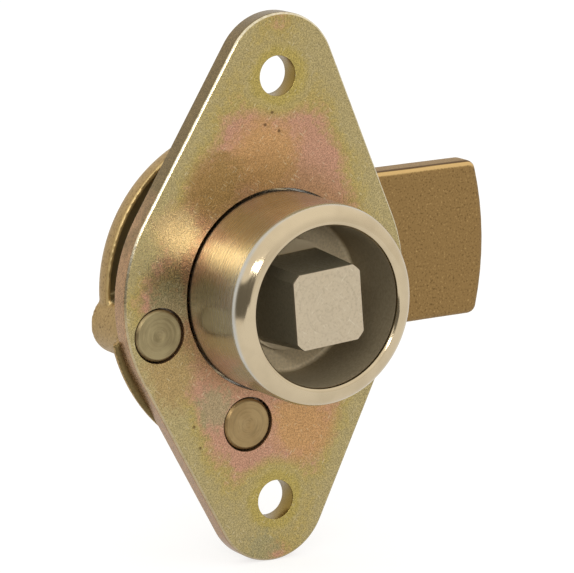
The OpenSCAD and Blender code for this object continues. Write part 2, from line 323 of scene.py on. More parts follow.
plate_holes = [(0, 0, nozzle_hole_r, tight_mouth)]
plate_holes += [(0, side * hole_out, hole_r, hole_mouth) for side in (-1, 1)]
plate_holes += [(x, z, rivet_hole_r, tight_mouth) for x, z in rivet_places]
for x, z, radius, mouth in plate_holes:
    combine(face_plate, "DIFFERENCE", add_disc, x, z, radius, plate_front - past, plate_back + past)
    for face in (plate_front, plate_back):
        bevel_edges(face_plate, lambda c: near(c.y, face) and near(math.hypot(c.x - x, c.z - z), radius),
                    mouth, segments=2)
finished(face_plate, "housing", "passivated_plate", "back_plate")

# %% [markdown]
# ## The nozzle
# The nozzle is a turned cup: its rim is well rounded, its floor carries the spindle and a flange
# behind the plate holds it in. A spun section is the lathe's own way, and two round notches let
# the necks of the case past the flange.

# %% Turn the nozzle
nozzle_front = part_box("nozzle")[0].y
flange_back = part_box("nozzle")[1].y
flange_r = 15.5 * MM
nozzle_r = mounts["nozzle_outside"]["dims"]["r_mm"] * MM
nozzle_spigot_r = 12.4 * MM
bore_r = 10.1 * MM
bore_floor = -2 * MM
shaft_hole_r = 6.15 * MM
rim_outer_r = 2 * MM
rim_inner_r = 0.5 * MM
bore_corner_r = 0.65 * MM
neck_notch_r = 3.25 * MM
RIM_SEGMENTS = 12
CORNER_SEGMENTS = 5
MOUTH_SEGMENTS = 2

nozzle_section = [(shaft_hole_r, bore_floor), (bore_r, bore_floor), (bore_r, nozzle_front),
                  (nozzle_r, nozzle_front), (nozzle_r, plate_front), (nozzle_spigot_r, plate_front),
                  (nozzle_spigot_r, plate_back), (flange_r, plate_back), (flange_r, flange_back),
                  (shaft_hole_r, flange_back), (shaft_hole_r, bore_floor)]
nozzle_rounding = [((nozzle_r, nozzle_front), rim_outer_r, RIM_SEGMENTS),
                   ((bore_r, nozzle_front), rim_inner_r, CORNER_SEGMENTS),
                   ((bore_r, bore_floor), bore_corner_r, CORNER_SEGMENTS),
                   ((shaft_hole_r, bore_floor), tight_mouth, MOUTH_SEGMENTS)]
turned_nozzle = turned("turned_nozzle", nozzle_section, nozzle_rounding)
for x, z in rivet_places:
    combine(turned_nozzle, "DIFFERENCE", add_disc, x, z, neck_notch_r,
            plate_back - past / 2, flange_back + past)
finished(turned_nozzle, "housing", "bright_nozzle", "nozzle")

# %% [markdown]
# ## The spindle
# The spindle is a turned bar. Its front end tapers a little, and a mill cuts four flats on it that
# taper too, so that a worn key still grips. A collar stops the key, and behind it come two more
# squares, for the detent block and the tongue, and an end that is riveted over a washer.

# %% Mill the tapered square
spindle_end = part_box("spindle")[1].y
tongue_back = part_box("tongue")[1].y
washer_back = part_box("retaining_washer")[1].y
block_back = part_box("detent_block")[1].y
bar_r = 6.1 * MM
key_flat = 4.75 * MM
key_taper = math.radians(3)
square_angle = math.radians(5)
square_angles = [square_angle + quarter * math.pi / 2 for quarter in range(4)]
collar_back = -2.3 * MM
flat_end = -3 * MM
collar_over = 0.3 * MM
weld = 0.3 * MM
worn_edge = 0.3 * MM
SHARP = math.radians(25)
cutter_w = 4 * bar_r
flat_length = flat_end - nozzle_front
corner_r = bar_r * (1 + flat_length * math.tan(key_taper) / key_flat)


def add_tapered_block(angle, flat, taper, size):
    """Adds a block whose inner face leans out from a flat at the front end of the bar."""
    turn = Matrix.Rotation(-angle, 3, "Y")
    lean = turn @ Matrix.Rotation(-taper, 3, "Z")
    middle = turn @ Vector((flat, nozzle_front, 0)) + lean @ Vector((size / 2, 0, 0))
    bpy.ops.mesh.primitive_cube_add(
        size=1, location=middle, rotation=lean.to_euler(), scale=(size, 2 * size, size))


key_section = [(0, nozzle_front), (bar_r, nozzle_front), (corner_r, flat_end), (corner_r, flat_end + weld),
               (0, flat_end + weld)]
milled_spindle = turned("milled_spindle", key_section)
for angle in square_angles:
    combine(milled_spindle, "DIFFERENCE", add_tapered_block, angle, key_flat, key_taper, cutter_w)
take(milled_spindle, "EDIT")
bpy.ops.mesh.select_all(action="DESELECT")
bpy.ops.mesh.edges_select_sharp(sharpness=SHARP)
bpy.ops.mesh.bevel(offset=worn_edge, segments=3, affect="EDGES", clamp_overlap=True)
print("Square milled,", round(key_flat * 2 / MM, 2), "mm across its flats at the tip")

# %% Weld on the rest of the bar
rear_journal_r = 5 * MM
stub_r = 3.5 * MM
peen_r = 5.2 * MM
block_flat_start = 4.4 * MM
rear_flat = 3.8 * MM
rear_flat_start = 12.55 * MM


def add_turned(section):
    """Adds a turned shape, to be welded on."""
    take(turned("cutter", section))


collar_r = corner_r + collar_over
bar_section = [(0, flat_end), (collar_r, flat_end), (collar_r, collar_back), (bar_r, collar_back),
               (bar_r, block_back), (rear_journal_r, block_back), (rear_journal_r, tongue_back),
               (stub_r, tongue_back), (stub_r, washer_back)]
bar_section += dome(peen_r, spindle_end - washer_back, washer_back)
combine(milled_spindle, "UNION", add_turned, bar_section)
rear_squares = [(key_flat, block_flat_start, block_back), (rear_flat, rear_flat_start, tongue_back)]
for flat, front, back in rear_squares:
    for angle in square_angles:
        combine(milled_spindle, "DIFFERENCE", add_block, angle, flat, 2 * bar_r, cutter_w, front, back)
finished(milled_spindle, "rotor", "spindle_steel", "spindle")

# %% [markdown]
# ## The rivets
# Two rivets hold the case to the plate. Their front ends are turned flush, so each shows fine
# tool rings and the dimple of the lathe centre. One is turned and then copied.

# %% Turn one rivet and copy it
ear_back = 10.4 * MM
rivet_end_r = 3.25 * MM
rivet_bevel = 0.3 * MM
rivet_shank_r = 2.4 * MM
rivet_head_r = 3.5 * MM
rivet_head_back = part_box("case_rivets")[1].y
dimple_r = 0.65 * MM
dimple_depth = 0.325 * MM
ring_radii = [1.15 * MM, 1.75 * MM, 2.35 * MM]
ring_half_w = 0.1 * MM
ring_depth = 0.015 * MM
RIVET_STEPS = 96

rivet_section = [(0, dimple_depth), (dimple_r, plate_front)]
for radius in ring_radii:
    rivet_section += [(radius - ring_half_w, plate_front), (radius, plate_front + ring_depth),
                      (radius + ring_half_w, plate_front)]
rivet_section += [(rivet_end_r - rivet_bevel, plate_front), (rivet_end_r, plate_front + rivet_bevel),
                  (rivet_end_r, plate_back), (rivet_shank_r, plate_back), (rivet_shank_r, ear_back)]
rivet_section += dome(rivet_head_r, rivet_head_back - ear_back, ear_back)
upper_rivet = turned("upper_rivet", rivet_section, steps=RIVET_STEPS)
take(upper_rivet)
bpy.ops.object.duplicate()
lower_rivet = bpy.context.object
lower_rivet.name = lower_rivet.data.name = "lower_rivet"
for rivet, (x, z) in zip((upper_rivet, lower_rivet), rivet_places):
    take(rivet, "EDIT")
    bpy.ops.mesh.select_all(action="SELECT")
    bpy.ops.transform.translate(value=(x, 0, z))
    finished(rivet, "housing", "rivet_steel", "case_rivets")

# %% [markdown]
# ## The cast case
# The case is a brass casting: a cup with an ear round each rivet and a window in its side where
# the stop lug travels. Castings have no sharp corners, so the plain shape is welded together
# first, then rebuilt from small even faces and smoothed, which rounds every edge a little.

# %% Weld the case together
case_floor = 9.3 * MM
case_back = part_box("rear_case")[1].y
case_r = 20 * MM
case_wall = 3 * MM
hollow_wall = 1.2 * MM
foot_r = 22.3 * MM
foot_t = 1.1 * MM
foot_edge_r = 0.45 * foot_t
window_rim = 7.6 * MM
case_edge_r = 3.5 * MM
window_rim_r = 0.25 * MM
rim_room = 0.02 * MM
window_lip = 0.6 * MM
case_journal_r = 5.05 * MM
window_start = math.radians(68.19)
ear_r = 4.05 * MM
ear_neck_r = 3.2 * MM
ear_pocket_r = 4.35 * MM
shank_hole_r = 2.45 * MM
flange_room_r = 15.75 * MM
EDGE_SEGMENTS = 8
SLIVER = 0.01 * MM
SLIVER_SIDES = 6

cavity_r = case_r - case_wall
face_stock = plate_back - past
cup_section = [(case_journal_r, case_floor), (cavity_r, case_floor), (cavity_r, face_stock),
               (case_r, face_stock), (case_r, case_back), (case_journal_r, case_back),
               (case_journal_r, case_floor)]
cast_case = turned("cast_case", cup_section, [((case_r, case_back), case_edge_r, EDGE_SEGMENTS)])


def add_arc(inner, outer, front, back, start, sweep, edge_r=0):
    """Adds a wall that runs on from an angle, with a round outer edge if one is given."""
    middle = (inner + outer) / 2
    bpy.ops.mesh.primitive_plane_add(
        size=1, location=(middle * math.cos(start), (front + back) / 2, middle * math.sin(start)),
        rotation=(0, -start, 0))
    wall = bpy.context.object
    wall.scale = (outer - inner, back - front, 1)
    bpy.ops.object.transform_apply(location=True, rotation=True, scale=True)
    bpy.ops.object.mode_set(mode="EDIT")
    if edge_r:
        pick(wall, "corners", lambda c: near(math.hypot(c.x, c.z), outer) and near(c.y, back))
        bpy.ops.mesh.bevel(offset=edge_r, segments=4, affect="VERTICES")
    bpy.ops.mesh.select_all(action="SELECT")
    bpy.ops.mesh.spin(steps=TURN_STEPS, angle=sweep, center=(0, 0, 0), axis=(0, 1, 0))
    bpy.ops.mesh.select_all(action="SELECT")
    bpy.ops.mesh.remove_doubles(threshold=TOUCHING)
    bpy.ops.mesh.normals_make_consistent(inside=False)
    bpy.ops.object.mode_set(mode="OBJECT")


def rework(operation, add_cutter, *size):
    """One step on the casting. Slivers that a cut leaves are merged away before the next one."""
    combine(cast_case, operation, add_cutter, *size)
    take(cast_case, "EDIT")
    bpy.ops.mesh.select_all(action="SELECT")
    bpy.ops.mesh.remove_doubles(threshold=SLIVER)
    bpy.ops.mesh.dissolve_degenerate(threshold=SLIVER)
    bpy.ops.mesh.select_all(action="SELECT")
    bpy.ops.mesh.fill_holes(sides=SLIVER_SIDES)
    clear_selection()


ear_sweep = rivet_angles[1] - rivet_angles[0]
window_sweep = rivet_angles[0] - window_start
shy = 0.04 * MM
shy_angle = math.radians(0.5)
hollow_r = cavity_r + hollow_wall
rework("DIFFERENCE", add_arc, cavity_r - past, case_r + past, face_stock - past, window_rim,
       window_start, window_sweep)
bevel_edges(cast_case, lambda c: near(c.y, window_rim) and near(math.hypot(c.x, c.z), case_r, rim_room),
            window_rim_r, segments=3)
rework("DIFFERENCE", add_arc, cavity_r - past, case_r - window_lip, window_rim - past, case_floor - shy,
       window_start + shy_angle, window_sweep - 2 * shy_angle)
rework("DIFFERENCE", add_arc, hollow_r, case_r + past, face_stock - past, case_back + past,
       rivet_angles[0], ear_sweep)
rework("UNION", add_arc, hollow_r - hollow_wall / 2, foot_r, face_stock - past / 2, plate_back + foot_t,
       rivet_angles[0], ear_sweep, foot_edge_r)
print("Cup turned and cut,", len(cast_case.data.vertices), "corners")

# %% Weld on its ears
for x, z in rivet_places:
    rework("UNION", add_disc, x, z, ear_r, face_stock - past / 4, ear_back)
rework("DIFFERENCE", add_disc, 0, 0, flange_room_r, face_stock - past, flange_back)
for x, z in rivet_places:
    rework("UNION", add_disc, x, z, ear_neck_r, face_stock, flange_back + past)
    rework("DIFFERENCE", add_disc, x, z, ear_pocket_r, ear_back, case_back + past)
    rework("DIFFERENCE", add_disc, x, z, shank_hole_r, face_stock - past, case_back + past)
rework("DIFFERENCE", add_disc, 0, 0, 2 * case_r, face_stock - 2 * past, plate_back)
print("Case welded,", len(cast_case.data.vertices), "corners")

# %% Cast it
cast_cell = 0.24 * MM
cast_rounds = 3


def cast(piece, cell, rounds):
    """Rebuilds a piece from small even faces and smooths it, as a sand mould does."""
    apply_modifier(piece, "REMESH", mode="VOXEL", voxel_size=cell, adaptivity=0)
    apply_modifier(piece, "SMOOTH", factor=0.5, iterations=rounds)


cast(cast_case, cast_cell, cast_rounds)
finished(cast_case, "housing", "cast_brass", "rear_case")

# %% [markdown]
# ## The cast tongue
# The tongue is a flat brass bar with a slightly round end and a low hub that runs on the case.
# It is made like the case: a hull of discs, a hub, a square hole, and then the casting step.

# %% Shape the tongue
tongue_front = 13.2 * MM
hub_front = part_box("tongue")[0].y
tongue_reach = 40 * MM
tongue_half_w = 10.35 * MM
tongue_corner_r = 1.3 * MM
end_steps = 4
tongue_edge_r = 0.9 * MM
tongue_angle = math.radians(1.4)
hub_r = 11 * MM
rear_hole_half = 3.85 * MM
corner_reach = tongue_reach - tongue_corner_r
corner_angle = math.asin((tongue_half_w - tongue_corner_r) / corner_reach)

tongue_discs = [(0, 0, tongue_half_w)]
for step in range(-end_steps, end_steps + 1):
    angle = tongue_angle + step / end_steps * corner_angle
    tongue_discs.append((corner_reach * math.cos(angle), corner_reach * math.sin(angle), tongue_corner_r))
cast_tongue = hull_plate("cast_tongue", tongue_discs, tongue_front, tongue_back)
for face in (tongue_front, tongue_back):
    bevel_edges(cast_tongue, lambda c: near(c.y, face), tongue_edge_r, segments=4)
combine(cast_tongue, "UNION", add_disc, 0, 0, hub_r, hub_front, (tongue_front + tongue_back) / 2)
combine(cast_tongue, "DIFFERENCE", add_block, square_angle, -rear_hole_half, rear_hole_half,
        2 * rear_hole_half, hub_front - past, tongue_back + past)
cast(cast_tongue, cast_cell, cast_rounds)
finished(cast_tongue, "rotor", "tongue_brass", "tongue")

# %% [markdown]
# ## The washer
# A plain turned washer spreads the load of the riveted end. Its edges are broken on the lathe.

# %% Turn the washer
washer_r = 8 * MM
washer_hole_r = 3.55 * MM
washer_edge_r = 0.25 * MM
WASHER_SEGMENTS = 3

washer_section = [(washer_hole_r, tongue_back), (washer_r, tongue_back), (washer_r, washer_back),
                  (washer_hole_r, washer_back), (washer_hole_r, tongue_back)]
washer_faces = (washer_back, tongue_back)
washer_rounding = [((washer_r, depth), washer_edge_r, WASHER_SEGMENTS) for depth in washer_faces]
turned_washer = turned("turned_washer", washer_section, washer_rounding)
finished(turned_washer, "rotor", "washer_steel", "retaining_washer")

# %% [markdown]
# ## Tools for finishes
# A finish is a small web of shader nodes. A few short functions keep the web readable: they add
# a node and link it, do sums and blend colours. Colours are written as they are seen on a screen
# and turned into the linear values that a shader works with.

# %% Shader tools
NOISE_SPAN = (0.3, 0.7)
FLOAT = "NodeSocketFloat"
VECTOR = "NodeSocketVector"


def seen(red, green, blue):
    """A colour as seen on a screen, from 0 to 255, as a shader's linear colour."""
    linear = [((c / 255 + 0.055) / 1.055) ** 2.4 if c > 10 else c / 255 / 12.92 for c in (red, green, blue)]
    return (*linear, 1)


def set_inputs(tree, node, inputs):
    """Fills inputs of a node. Each gets a plain value, or an output that is linked to it."""
    for name, value in inputs.items():
        if isinstance(value, bpy.types.NodeSocket):
            tree.links.new(value, node.inputs[name])
        else:
            node.inputs[name].default_value = value


def add_node(tree, kind, inputs=None, **settings):
    """Adds a shader node with its settings and inputs."""
    made = tree.nodes.new("ShaderNode" + kind)
    for name, value in settings.items():
        setattr(made, name, value)
    set_inputs(tree, made, inputs or {})
    return made


def sums(tree, operation, *values):
    """Does one sum on numbers."""
    return add_node(tree, "Math", dict(enumerate(values)), operation=operation).outputs[0]


def times(tree, first, second):
    """Multiplies two numbers."""
    return sums(tree, "MULTIPLY", first, second)


def across(tree, first, second):
    """Distance from an axis, worked out from two distances square to each other."""
    squares = [times(tree, side, side) for side in (first, second)]
    return sums(tree, "SQRT", sums(tree, "ADD", *squares))


def blend(tree, share, first, second, how="MIX"):
    """Blends two colours."""
    return add_node(tree, "Mix", {0: share, 6: first, 7: second}, data_type="RGBA", blend_type=how).outputs[2]


def rise(tree, value, start, end, low=0.0, high=1.0):
    """Goes smoothly from low to high as a value goes from start to end."""
    sockets = {"Value": value, "From Min": start, "From Max": end, "To Min": low, "To Max": high}
    return add_node(tree, "MapRange", sockets, interpolation_type="SMOOTHSTEP").outputs[0]


def noise(tree, place, scale, detail=2.0, roughness=0.5):
    """Cloudy noise, with its scale in features for each millimetre."""
    sockets = {"Vector": place, "Scale": scale, "Detail": detail, "Roughness": roughness}
    return add_node(tree, "TexNoise", sockets).outputs[0]


def vary(tree, texture, low, high):
    """Goes from low to high with a noise, over the span where most of its values lie."""
    return rise(tree, texture, *NOISE_SPAN, low, high)


def ramp(tree, value, stops):
    """A row of colours, each at its place between 0 and 1."""
    made = add_node(tree, "ValToRGB", {0: value})
    elements = made.color_ramp.elements
    while len(elements) < len(stops):
        elements.new(1.0)
    for element, (place, colour) in zip(elements, stops):
        element.position = place
        element.color = colour
    return made.outputs[0]


def along(tree, place, axis):
    """One coordinate of a place."""
    return add_node(tree, "SeparateXYZ", {0: place}).outputs[axis]


def away_from(tree, place, centre):
    """Distance from a spot on the plate, given as (x, z) in millimetres."""
    spot = (centre[0], 0, centre[1])
    return add_node(tree, "VectorMath", {0: place, 1: spot}, operation="DISTANCE").outputs["Value"]


def new_finish(name, metallic):
    """An empty finish: a material, its tree, its metal shader and the place on it in millimetres."""
    material = bpy.data.materials.new(name)
    material.use_nodes = True
    tree = material.node_tree
    shader = tree.nodes["Principled BSDF"]
    shader.inputs["Metallic"].default_value = metallic
    place = add_node(tree, "TexCoord").outputs["Object"]
    in_mm = add_node(tree, "VectorMath", {0: place, "Scale": 1 / MM}, operation="SCALE").outputs[0]
    return material, tree, shader, in_mm


def feed(tree, shader, colour, roughness, height, bump_mm, strength):
    """Links colour, roughness and a height in millimetres to a metal shader."""
    tree.links.new(colour, shader.inputs["Base Color"])
    tree.links.new(roughness, shader.inputs["Roughness"])
    sockets = {"Height": height, "Distance": bump_mm * MM, "Strength": strength}
    tree.links.new(add_node(tree, "Bump", sockets).outputs[0], shader.inputs["Normal"])


def wear(piece, material):
    """Gives a piece its finish."""
    piece.data.materials.clear()
    piece.data.materials.append(material)
    print(piece.name, "wears", material.name)


def new_group(name, inputs, outputs):
    """An empty group of shader nodes with named sockets."""
    group = bpy.data.node_groups.new(name, "ShaderNodeTree")
    for label, kind in inputs:
        group.interface.new_socket(label, in_out="INPUT", socket_type=kind)
    for label in outputs:
        group.interface.new_socket(label, in_out="OUTPUT", socket_type=FLOAT)
    return group, group.nodes.new("NodeGroupInput").outputs, group.nodes.new("NodeGroupOutput").inputs


def use_group(tree, group, **inputs):
    """Places a group in a finish."""
    made = tree.nodes.new("ShaderNodeGroup")
    made.node_tree = group
    set_inputs(tree, made, inputs)
    return made.outputs


# %% [markdown]
# ## Effects that several finishes share
# Every metal here has a fine grain, and everything that came off a lathe has tool marks that run
# round its axis. Each effect is a group with named inputs, built once and placed in each finish
# with its own values. The edge finder finds, from the way a surface faces, the rounded edges between a
# flat face and its sides, and how far they face up. Finishes lighten those edges, partly as rubbed
# wear and partly as a painted highlight where the edges face up towards the lamp.

# %% Build the grain
CLOUD_SCALE = 0.06
SCRATCH_TURNS = (0.7, -0.9)
SCRATCH_SHAPE = (1.3, 0.3, 0.22)
SCRATCH_SPAN = (0.62, 0.75)

metal_grain, entry, leave = new_group("metal_grain", [("Place", VECTOR), ("Scale", FLOAT)],
                                      ["Grain", "Cloud", "Scratch"])
fine = noise(metal_grain, entry["Place"], entry["Scale"], detail=3.0, roughness=0.6)
coarse_scale = times(metal_grain, entry["Scale"], CLOUD_SCALE)
cloud = noise(metal_grain, entry["Place"], coarse_scale, detail=3.0, roughness=0.55)
strokes = []
for turn in SCRATCH_TURNS:
    sockets = {"Vector": entry["Place"], "Rotation": (0, turn, 0), "Scale": SCRATCH_SHAPE}
    drawn_out = add_node(metal_grain, "Mapping", sockets, vector_type="TEXTURE").outputs[0]
    strokes.append(rise(metal_grain, noise(metal_grain, drawn_out, 1.0), *SCRATCH_SPAN))
scratch = sums(metal_grain, "MAXIMUM", *strokes)
for label, value in zip(("Grain", "Cloud", "Scratch"), (fine, cloud, scratch)):
    metal_grain.links.new(value, leave[label])
print("Grain group has", len(metal_grain.nodes), "nodes")

# %% Build the tool marks and the edge finder
MARK_TURN = 0.15
EDGE_RAGGED = 0.06
FACE_FADE = 0.06
SIDE_FADE = 0.15

tool_marks, entry, leave = new_group("tool_marks", [("Place", VECTOR), ("Pitch", FLOAT)], ["Mark", "Radius"])
axes = add_node(tool_marks, "SeparateXYZ", {0: entry["Place"]}).outputs
from_axis = across(tool_marks, axes["X"], axes["Z"])
around = times(tool_marks, sums(tool_marks, "ARCTAN2", axes["Z"], axes["X"]), MARK_TURN)
path = add_node(tool_marks, "CombineXYZ", {0: from_axis, 1: axes["Y"], 2: around}).outputs[0]
mark = noise(tool_marks, path, entry["Pitch"], detail=3.0, roughness=0.7)
tool_marks.links.new(mark, leave["Mark"])
tool_marks.links.new(from_axis, leave["Radius"])

edge_finder, entry, leave = new_group("edge_finder", [("Ragged", FLOAT), ("Flat", FLOAT), ("Side", FLOAT)],
                                    ["Edge", "Side", "Up"])
world_normal = add_node(edge_finder, "NewGeometry").outputs["Normal"]
own_normal = add_node(edge_finder, "VectorTransform", {0: world_normal}, vector_type="NORMAL",
                      convert_from="WORLD", convert_to="OBJECT").outputs[0]
facing = add_node(edge_finder, "SeparateXYZ", {0: own_normal}).outputs
level = sums(edge_finder, "ABSOLUTE", facing["Y"])
frontal = sums(edge_finder, "MULTIPLY_ADD", entry["Ragged"], EDGE_RAGGED, level)
off_face = rise(edge_finder, frontal, entry["Flat"], sums(edge_finder, "SUBTRACT", entry["Flat"], FACE_FADE))
off_side = rise(edge_finder, frontal, entry["Side"], sums(edge_finder, "ADD", entry["Side"], SIDE_FADE))
edge_finder.links.new(times(edge_finder, off_face, off_side), leave["Edge"])
edge_finder.links.new(sums(edge_finder, "SUBTRACT", 1.0, off_side), leave["Side"])
edge_finder.links.new(facing["Z"], leave["Up"])
print("Shared effects:", [group.name for group in bpy.data.node_groups])

# %% [markdown]
# ## The passivated film
# The plate is zinc plated and dipped, which leaves a thin film whose colour changes with its
# thickness: yellow green near edges and holes, rose towards the middle. The film is one value,
# worked out from the distance to the edge and to the holes and made ragged with noise, and a row
# of colours turns that value into the film. A brown ring round the nozzle is painted shade, where
# the plate mirrors the dark nozzle wall. Patches lie over it: two khaki ones where the dip dried
# unevenly, a tan one above and to the left of the nozzle, a darker olive one left of the nozzle that
# is painted shade like the ring, and a pale straw one between them that is a painted highlight, the
# lamp mirrored off the nozzle wall onto the plate. Scuffs, scratches and pits come last.

# %% Shape of the film
PATCH_CORE = 0.4
BROAD_REACH = 6.0
FINE_REACH = 4.5
HOLE_RAGGED = 0.4
EDGE_FILM = (1.0, 8.5)
HOLE_FILM = (3.0, 8.5)


def patch(tree, place, centre, radius, ragged):
    """A soft patch round a spot on the plate, given as (x, z) in millimetres."""
    reach = sums(tree, "ADD", away_from(tree, place, centre), ragged)
    return rise(tree, reach, radius, PATCH_CORE * radius)


def inside_edge(tree, x, up, side):
    """Distance in from the straight edges on one side of the plate: 1 is right, -1 is left."""
    slope = math.atan2(hole_out, plate_mid_shift)
    lean = math.acos((plate_mid_r - plate_end_r) / math.hypot(hole_out, plate_mid_shift))
    facing = slope - side * lean
    edge_out = (plate_mid_r - plate_mid_shift * math.cos(facing)) / MM
    reach = sums(tree, "MULTIPLY_ADD", x, math.cos(facing), times(tree, up, math.sin(facing)))
    return sums(tree, "SUBTRACT", edge_out, reach)


passivated, tree, shader, place = new_finish("passivated_film", 0.85)
x = along(tree, place, "X")
z = along(tree, place, "Z")
grain = use_group(tree, metal_grain, Place=place, Scale=5.0)
broad_wander = sums(tree, "SUBTRACT", noise(tree, place, 0.16, detail=3.0, roughness=0.6), 0.5)
fine_wander = sums(tree, "SUBTRACT", noise(tree, place, 1.1, detail=3.0, roughness=0.7), 0.5)
fine_ragged = times(tree, fine_wander, FINE_REACH)
ragged = sums(tree, "MULTIPLY_ADD", broad_wander, BROAD_REACH, fine_ragged)
up = sums(tree, "ABSOLUTE", z)
nearer_edge = sums(tree, "MINIMUM", inside_edge(tree, x, up, 1), inside_edge(tree, x, up, -1))
from_edge = sums(tree, "ADD", ragged, nearer_edge)
from_hole = across(tree, x, sums(tree, "SUBTRACT", up, hole_out / MM))
ragged_hole = sums(tree, "MULTIPLY_ADD", ragged, HOLE_RAGGED, from_hole)
film = times(tree, rise(tree, from_edge, *EDGE_FILM), rise(tree, ragged_hole, *HOLE_FILM))
print("Film shaped by", len(tree.nodes), "nodes")

# %% Colours of the film, with painted shade and a painted highlight by the nozzle
khaki = seen(182, 166, 118)
green_gold = seen(183, 163, 100)
rose = seen(196, 149, 123)
orange = seen(200, 155, 105)
nozzle_shade_brown = seen(146, 112, 62)
warm_khaki = seen(181, 154, 104)
film_tan = seen(166, 132, 82)
olive_shade = seen(158, 136, 92)
straw_highlight = seen(196, 169, 122)
ring_green = seen(184, 165, 94)
FILM_COLOURS = ((0.0, khaki), (0.22, green_gold), (0.62, rose), (1.0, rose))
ORANGE_PATCHES = (((-1.8, 17.0), 7.0), ((4.0, -17.5), 6.0))
NOZZLE_SHADE_CENTRE = (-2.0, 2.0)
NOZZLE_SHADE_FADE = (17.5, 12.5, 0.0, 0.55)
NOZZLE_SHADE_RAGGED = 0.4
# The olive patch left of the nozzle is painted shade, where the plate mirrors the dark nozzle wall, and the
# pale straw one is a painted highlight, the lamp mirrored off the nozzle wall onto the plate; the others are
# film.
FILM_AND_PAINTED_LIGHT_PATCHES = (((-14.8, -9.0), 5.5, warm_khaki), ((-18.5, 6.0), 4.0, khaki), ((-9.0, 14.0), 5.5, film_tan),
                 ((-16.0, 2.4), 4.0, olive_shade), ((-14.5, 8.5), 4.5, straw_highlight))
RING_FADE = (4.6, 3.2)

colour = ramp(tree, film, FILM_COLOURS)
for centre, radius in ORANGE_PATCHES:
    colour = blend(tree, patch(tree, place, centre, radius, ragged), colour, orange)
# Painted shade: a brown ring round the nozzle, where the plate mirrors the dark nozzle wall.
from_nozzle_shade = sums(tree, "MULTIPLY_ADD", ragged, NOZZLE_SHADE_RAGGED, away_from(tree, place, NOZZLE_SHADE_CENTRE))
colour = blend(tree, rise(tree, from_nozzle_shade, *NOZZLE_SHADE_FADE), colour, nozzle_shade_brown)
# Lays on the film patches, with the painted shade and the painted highlight among them.
for centre, radius, patch_colour in FILM_AND_PAINTED_LIGHT_PATCHES:
    colour = blend(tree, patch(tree, place, centre, radius, ragged), colour, patch_colour)
colour = blend(tree, rise(tree, ragged_hole, *RING_FADE), colour, ring_green)
print("Film coloured with", len(ORANGE_PATCHES) + len(FILM_AND_PAINTED_LIGHT_PATCHES), "patches")

# %% Scuffs, grain and pits of the film
scuff_grey = seen(166, 157, 118)
straw = seen(232, 218, 182)
pit_brown = seen(84, 58, 36)
SCUFF_PATCHES = (((-15.2, -0.6), 4.2), ((-8.9, -14.2), 3.6), ((-2.0, -33.0), 3.0))
SCUFF_RAGGED = 6.0
SCUFF_SHARE = 0.7
MOTTLE_TONE = (-0.25, 0.25, 0.9, 1.09)
GRAIN_TONE = (0.32, 0.68, 0.68, 1.27)
SCRATCH_SHARE = 0.5
PITS = ((-0.8, 22.5), (-1.8, 21.0), (0.2, 20.1), (-11.9, -16.2), (-11.0, -19.0))
PIT_R = 0.3
PIT_SHARE = 0.7

for centre, radius in SCUFF_PATCHES:
    scuffed = patch(tree, place, centre, radius, times(tree, fine_wander, SCUFF_RAGGED))
    colour = blend(tree, times(tree, scuffed, SCUFF_SHARE), colour, scuff_grey)
mottle = rise(tree, fine_wander, *MOTTLE_TONE)
tone = times(tree, mottle, rise(tree, grain["Grain"], *GRAIN_TONE))
colour = blend(tree, 1.0, colour, tone, "MULTIPLY")
colour = blend(tree, times(tree, grain["Scratch"], SCRATCH_SHARE), colour, straw)
for centre in PITS:
    pitted = patch(tree, place, centre, PIT_R, times(tree, fine_wander, PIT_R))
    colour = blend(tree, times(tree, pitted, PIT_SHARE), colour, pit_brown)
print("Film worn with", len(SCUFF_PATCHES), "scuffs and", len(PITS), "pits")

# %% Sides, holes and edges of the plate, the edges rubbed and lightened with a painted highlight
olive = seen(126, 108, 74)
edge_pink = seen(176, 141, 106)
bore_gold = seen(146, 122, 62)
dim_edge_highlight = seen(196, 180, 148)
edge_highlight_zinc = seen(240, 231, 206)
SIDE_WANDER = 30.0
SIDE_SPAN = (4.0, 13.0)
BORE_FADE = (4.0, 3.2)
RUB_AND_HIGHLIGHT_PAST_HOLES = (3.2, 4.0, 0.15, 0.9)
RUB_AND_HIGHLIGHT_BREAKS = (-0.2, 0.1, 0.45, 1.0)
HIGHLIGHT_UPWARD = (0.02, 0.2)
RUB_POLISH = -0.06

worn = use_group(tree, edge_finder, Ragged=fine_wander, Flat=0.94, Side=0.35)
up_the_side = sums(tree, "MULTIPLY_ADD", broad_wander, SIDE_WANDER, z)
side_colour = blend(tree, rise(tree, up_the_side, *SIDE_SPAN), edge_pink, olive)
side_colour = blend(tree, 1.0, side_colour, tone, "MULTIPLY")
side_colour = blend(tree, rise(tree, from_hole, *BORE_FADE), side_colour, bore_gold)
colour = blend(tree, worn["Side"], colour, side_colour)
# The rounded front edges are lightened, partly as rubbed wear and partly as a painted highlight that is
# brightest where an edge faces up towards the lamp.
rubbed_and_highlit = times(tree, worn["Edge"], rise(tree, from_hole, *RUB_AND_HIGHLIGHT_PAST_HOLES))
rubbed_and_highlit = times(tree, rubbed_and_highlit, rise(tree, fine_wander, *RUB_AND_HIGHLIGHT_BREAKS))
edge_highlight_metal = blend(tree, rise(tree, worn["Up"], *HIGHLIGHT_UPWARD), dim_edge_highlight, edge_highlight_zinc)
colour = blend(tree, rubbed_and_highlit, colour, edge_highlight_metal)
rough = sums(tree, "MULTIPLY_ADD", rubbed_and_highlit, RUB_POLISH, vary(tree, grain["Grain"], 0.22, 0.34))
feed(tree, shader, colour, rough, grain["Grain"], bump_mm=0.03, strength=0.35)
wear(face_plate, passivated)

